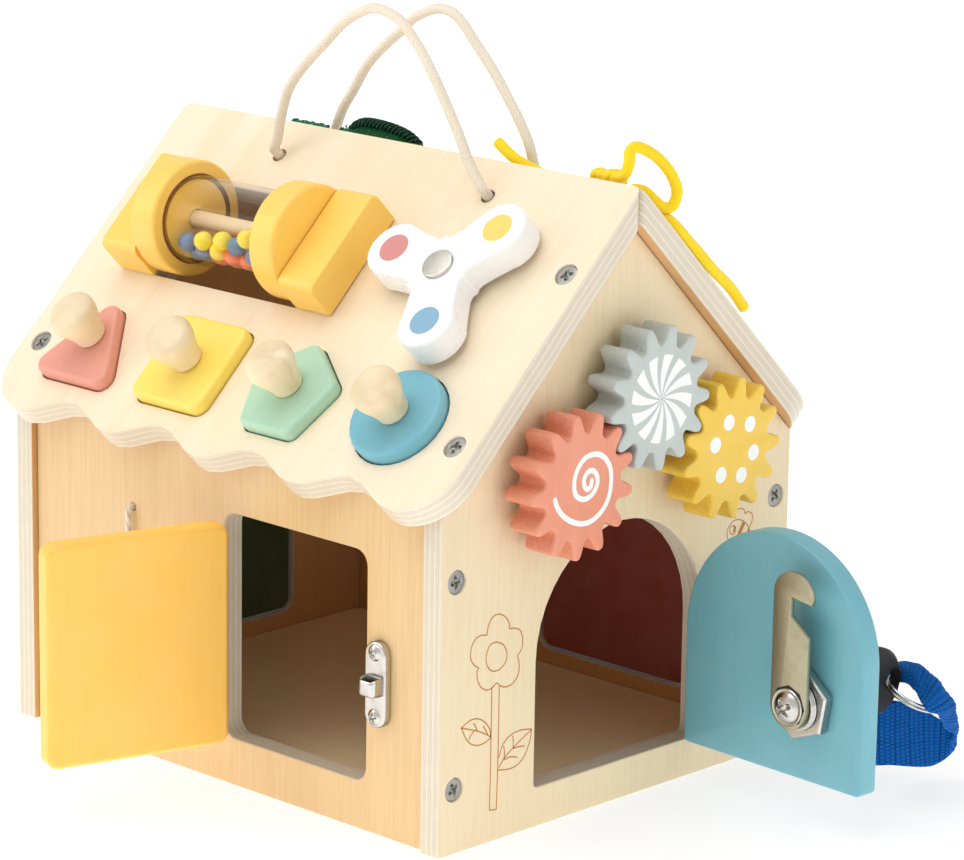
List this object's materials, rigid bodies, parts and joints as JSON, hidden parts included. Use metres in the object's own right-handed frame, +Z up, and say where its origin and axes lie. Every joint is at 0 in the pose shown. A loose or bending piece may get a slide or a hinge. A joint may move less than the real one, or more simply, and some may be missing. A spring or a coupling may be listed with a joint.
{
  "type": "activity house",
  "caption": "Small wooden play house with hinged latching doors, meshed gears, a spinner, a rolling drum, lift-out shape pegs and rope handles.",
  "frame": {"origin": "centre of the floor's underside, on the surface the house stands on", "axes": "+Z up, the roof ridge along X, the square yellow door's wall faces -Y, the arched gable with the gears faces +X"},
  "size_m": [0.2841, 0.2481, 0.2471],
  "materials": {
    "birch": "lacquered birch plywood",
    "birch_warm": "lacquered plywood, warmer tone",
    "orange": "satin paint",
    "door_yellow": "satin paint",
    "teal": "satin paint",
    "dark_green": "satin paint",
    "maroon": "satin paint",
    "coral": "satin paint",
    "grey": "satin paint",
    "gold": "satin paint",
    "lemon": "satin paint",
    "sage": "satin paint",
    "sky": "satin paint",
    "turned_wood": "bare turned wood",
    "white": "smooth white",
    "clear": "clear tube",
    "steel": "nickel plated",
    "chrome": "polished",
    "black": "black moulding",
    "webbing": "woven webbing",
    "rope": "braided cotton",
    "yellow_lace": "woven lace",
    "white_cord": "twisted cord",
    "green_fabric": "ribbed pile"
  },
  "bodies": {
    "house": {"gable_right": "birch", "gable_left": "birch", "wall_front": "birch_warm", "wall_back": "birch_warm", "floor": "birch_warm", "roof_front": "birch", "roof_rear": "birch", "drum_block_left": "orange", "drum_block_right": "orange", "axle_gear_coral": "steel", "axle_gear_grey": "steel", "axle_gear_yellow": "steel", "spinner_bolt": "steel", "front_hinge_fixed": "steel", "arch_hinge_fixed": "steel", "side_hinge_fixed": "steel", "back_hinge_fixed": "steel", "latch_keeper": "steel", "bolt_keeper": "steel", "rope_front": "rope", "rope_rear": "rope", "lace": "yellow_lace", "pull_cord": "white_cord", "fabric_leaf": "green_fabric"},
    "drum": {"drum_cap_left": "orange", "drum_cap_right": "orange", "drum_tube": "clear", "drum_axle": "turned_wood"},
    "gear_coral": {"gear_coral": "coral"},
    "gear_grey": {"gear_grey": "grey"},
    "gear_yellow": {"gear_yellow": "gold"},
    "spinner": {"spinner": "white"},
    "peg_triangle": {"peg_triangle": "coral", "knob_triangle": "turned_wood"},
    "peg_square": {"peg_square": "lemon", "knob_square": "turned_wood"},
    "peg_pentagon": {"peg_pentagon": "sage", "knob_pentagon": "turned_wood"},
    "peg_disc": {"peg_disc": "sky", "knob_disc": "turned_wood"},
    "front_door": {"front_door": "door_yellow", "front_hinge_moving": "steel", "latch_plate": "steel"},
    "latch_bar": {"latch_bar": "steel"},
    "arch_door": {"arch_door": "teal", "arch_hinge_moving": "steel", "lock_body": "chrome", "lock_nut": "chrome"},
    "cam": {"lock_plug_cam": "steel"},
    "key": {"key_blade": "steel", "key_bow": "black", "split_ring": "chrome", "key_strap": "webbing"},
    "side_door": {"side_door": "dark_green", "side_hinge_moving": "steel"},
    "side_button": {"side_button": "turned_wood"},
    "back_door": {"back_door": "maroon", "back_hinge_moving": "steel", "bolt_plate": "steel"},
    "bolt": {"bolt_rod": "steel"}
  },
  "joints": [
    {"name": "front_door_hinge", "type": "hinge", "parent": "house", "child": "front_door", "pos_m": [0.0005, -0.0821, 0], "axis": [0, 0, -1], "range_deg": [-106, 44]},
    {"name": "latch_bar_turn", "type": "hinge", "parent": "front_door", "child": "latch_bar", "pos_m": [-0.01247, -0.12624, 0.0506], "axis": [0.9613, -0.2756, 0], "range_deg": [-90, 90]},
    {"name": "arch_door_hinge", "type": "hinge", "parent": "house", "child": "arch_door", "pos_m": [0.1025, 0.039, 0], "axis": [0, 0, 1], "range_deg": [-87.4, 40]},
    {"name": "cam_turn", "type": "hinge", "parent": "arch_door", "child": "cam", "pos_m": [0.15635, 0.03655, 0.0404], "axis": [0.0454, 0.999, 0], "range_deg": [0, 90]},
    {"name": "key_slide", "type": "slide", "parent": "cam", "child": "key", "axis": [0.0454, 0.999, 0], "range_m": [0, 0.02]},
    {"name": "side_door_hinge", "type": "hinge", "parent": "house", "child": "side_door", "pos_m": [-0.1025, -0.0385, 0], "axis": [0, 0, 1], "range_deg": [0, 150]},
    {"name": "side_button_turn", "type": "hinge", "parent": "house", "child": "side_button", "pos_m": [-0.1, 0.047, 0.0515], "axis": [1, 0, 0], "range_deg": [0, 90]},
    {"name": "back_door_hinge", "type": "hinge", "parent": "house", "child": "back_door", "pos_m": [0.066, 0.0821, 0], "axis": [0, 0, -1], "range_deg": [0, 100]},
    {"name": "bolt_slide", "type": "slide", "parent": "back_door", "child": "bolt", "axis": [-1, 0, 0], "range_m": [0, 0.0095]},
    {"name": "gear_grey_spin", "type": "hinge", "parent": "house", "child": "gear_grey", "pos_m": [0.103, 0, 0.1353], "axis": [1, 0, 0], "continuous": true},
    {"name": "gear_coral_spin", "type": "hinge", "parent": "house", "child": "gear_coral", "pos_m": [0.103, -0.0352, 0.1131], "axis": [1, 0, 0], "continuous": true},
    {"name": "gear_yellow_spin", "type": "hinge", "parent": "house", "child": "gear_yellow", "pos_m": [0.103, 0.0352, 0.1131], "axis": [1, 0, 0], "continuous": true},
    {"name": "spinner_spin", "type": "hinge", "parent": "house", "child": "spinner", "pos_m": [0.0593, -0.0363, 0.16793], "axis": [0, -0.699, 0.7151], "continuous": true},
    {"name": "drum_spin", "type": "hinge", "parent": "house", "child": "drum", "pos_m": [-0.0324, -0.04084, 0.17258], "axis": [1, 0, 0], "continuous": true},
    {"name": "peg_triangle_lift", "type": "slide", "parent": "house", "child": "peg_triangle", "axis": [0, -0.699, 0.7151], "range_m": [0, 0.03]},
    {"name": "peg_square_lift", "type": "slide", "parent": "house", "child": "peg_square", "axis": [0, -0.699, 0.7151], "range_m": [0, 0.03]},
    {"name": "peg_pentagon_lift", "type": "slide", "parent": "house", "child": "peg_pentagon", "axis": [0, -0.699, 0.7151], "range_m": [0, 0.03]},
    {"name": "peg_disc_lift", "type": "slide", "parent": "house", "child": "peg_disc", "axis": [0, -0.699, 0.7151], "range_m": [0, 0.03]}
  ],
  "couplings": [
    {"joint": "gear_coral_spin", "follows": "gear_grey_spin", "ratio": -1},
    {"joint": "gear_yellow_spin", "follows": "gear_grey_spin", "ratio": -1}
  ]
}
